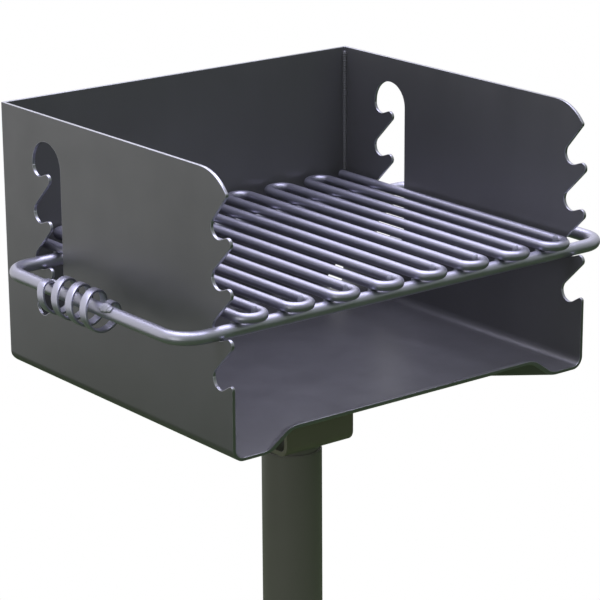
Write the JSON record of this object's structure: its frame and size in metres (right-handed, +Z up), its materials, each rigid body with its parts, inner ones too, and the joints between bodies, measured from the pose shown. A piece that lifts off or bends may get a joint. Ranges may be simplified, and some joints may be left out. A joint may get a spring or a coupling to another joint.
{
  "type": "park barbecue grill on a pedestal",
  "caption": "Park grill on a steel pedestal: an open-front folded firebox that swivels on its post, with a captive rod grate set in hooked notches and coil-gripped handles.",
  "frame": {"origin": "on the post's axis, at the underside of the base plate and the centre of its anchor holes", "axes": "+Z up along the post; -Y towards the open front of the firebox; +X to the right of someone who looks from the front"},
  "size_m": [0.5463, 0.367, 1.012],
  "materials": {
    "firebox_paint": "satin charcoal heat-proof paint",
    "grate_paint": "satin charcoal heat-proof paint on hot-rolled rod",
    "grip_finish": "pale satin flat bar",
    "post_paint": "satin black-green enamel",
    "plated_steel": "zinc plated"
  },
  "bodies": {
    "post": {"base_plate": "post_paint", "base_weld": "post_paint", "post_pipe": "post_paint", "post_cap": "post_paint", "cap_weld": "post_paint", "pivot_bolt": "plated_steel", "bearing_washer": "plated_steel", "nut_washer": "plated_steel", "pivot_nut": "plated_steel", "jam_nut": "plated_steel"},
    "firebox": {"swivel_bracket": "firebox_paint", "bracket_welds": "firebox_paint", "firebox_shell": "firebox_paint", "left_corner_weld": "firebox_paint", "right_corner_weld": "firebox_paint"},
    "grate": {"grate_frame": "grate_paint", "frame_weld": "grate_paint", "cooking_grid": "grate_paint", "grid_welds": "grate_paint", "left_coil_grip": "grip_finish", "right_coil_grip": "grip_finish", "grip_welds": "grip_finish"}
  },
  "joints": [
    {"name": "firebox_swivel", "type": "hinge", "parent": "post", "child": "firebox", "pos_m": [0, 0, 0.672], "axis": [0, 0, 1], "continuous": true},
    {"name": "grate_lift", "type": "slide", "parent": "firebox", "child": "grate", "axis": [0, -0.7071, 0.7071], "range_m": [0, 0.042]}
  ]
}
